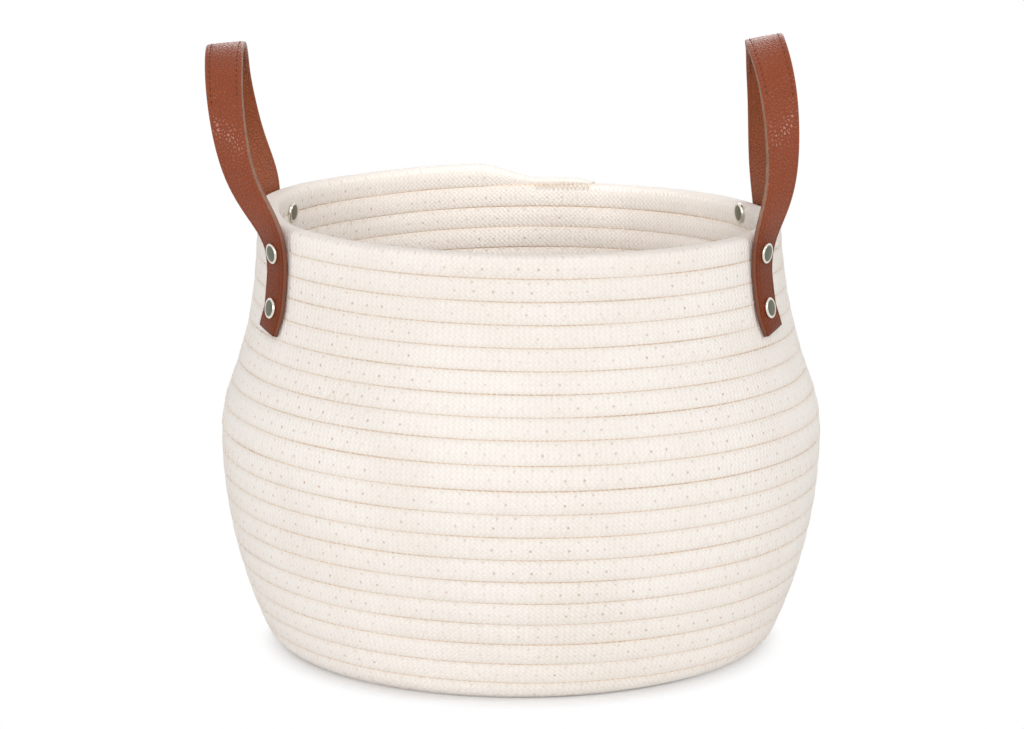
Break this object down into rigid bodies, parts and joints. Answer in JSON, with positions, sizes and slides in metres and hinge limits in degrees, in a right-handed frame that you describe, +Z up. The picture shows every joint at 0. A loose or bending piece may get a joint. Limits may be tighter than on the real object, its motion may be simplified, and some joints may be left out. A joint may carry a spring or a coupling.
{
  "type": "fabric storage bin",
  "caption": "Round bellied storage bin of cotton rope, coiled and sewn turn to turn, with two leather strap handles riveted through the wall that fold in and out.",
  "frame": {"origin": "on the bin's axis, in the plane that its base stands on", "axes": "+Z up along the bin's axis, X from the left handle to the right one, -Y to the front of the picture"},
  "size_m": [0.2784, 0.2728, 0.2782],
  "materials": {
    "cotton_rope": "matt cream braid",
    "seam_thread": "matt cotton thread",
    "leather": "pebbled brown",
    "strap_filler": "raw tan edge",
    "strap_thread": "dark brown thread",
    "nickel": "polished nickel"
  },
  "bodies": {
    "basket": {"base_coil": "cotton_rope", "left_front_lower_rivet_cap": "nickel", "left_front_lower_rivet_socket": "nickel", "left_front_tab_face": "leather", "left_front_tab_filler": "strap_filler", "left_front_tab_lining": "leather", "left_front_upper_rivet_cap": "nickel", "left_front_upper_rivet_socket": "nickel", "left_rear_lower_rivet_cap": "nickel", "left_rear_lower_rivet_socket": "nickel", "left_rear_tab_face": "leather", "left_rear_tab_filler": "strap_filler", "left_rear_tab_lining": "leather", "left_rear_upper_rivet_cap": "nickel", "left_rear_upper_rivet_socket": "nickel", "right_front_lower_rivet_cap": "nickel", "right_front_lower_rivet_socket": "nickel", "right_front_tab_face": "leather", "right_front_tab_filler": "strap_filler", "right_front_tab_lining": "leather", "right_front_upper_rivet_cap": "nickel", "right_front_upper_rivet_socket": "nickel", "right_rear_lower_rivet_cap": "nickel", "right_rear_lower_rivet_socket": "nickel", "right_rear_tab_face": "leather", "right_rear_tab_filler": "strap_filler", "right_rear_tab_lining": "leather", "right_rear_upper_rivet_cap": "nickel", "right_rear_upper_rivet_socket": "nickel", "wall_coil": "cotton_rope", "wall_seam_thread": "seam_thread"},
    "left_handle": {"left_arch_face": "leather", "left_arch_filler": "strap_filler", "left_arch_lining": "leather", "left_inner_edge_thread": "strap_thread", "left_outer_edge_thread": "strap_thread"},
    "right_handle": {"right_arch_face": "leather", "right_arch_filler": "strap_filler", "right_arch_lining": "leather", "right_inner_edge_thread": "strap_thread", "right_outer_edge_thread": "strap_thread"}
  },
  "joints": [
    {"name": "left_handle_fold", "type": "hinge", "parent": "basket", "child": "left_handle", "pos_m": [-0.11228, -0.00825, 0.20281], "axis": [0.0732, -0.9973, 0], "range_deg": [-73, 92], "stiffness_Nm_per_rad": 0.08},
    {"name": "right_handle_fold", "type": "hinge", "parent": "basket", "child": "right_handle", "pos_m": [0.11228, -0.00825, 0.20281], "axis": [0.0732, 0.9973, 0], "range_deg": [-60, 108], "stiffness_Nm_per_rad": 0.08}
  ]
}
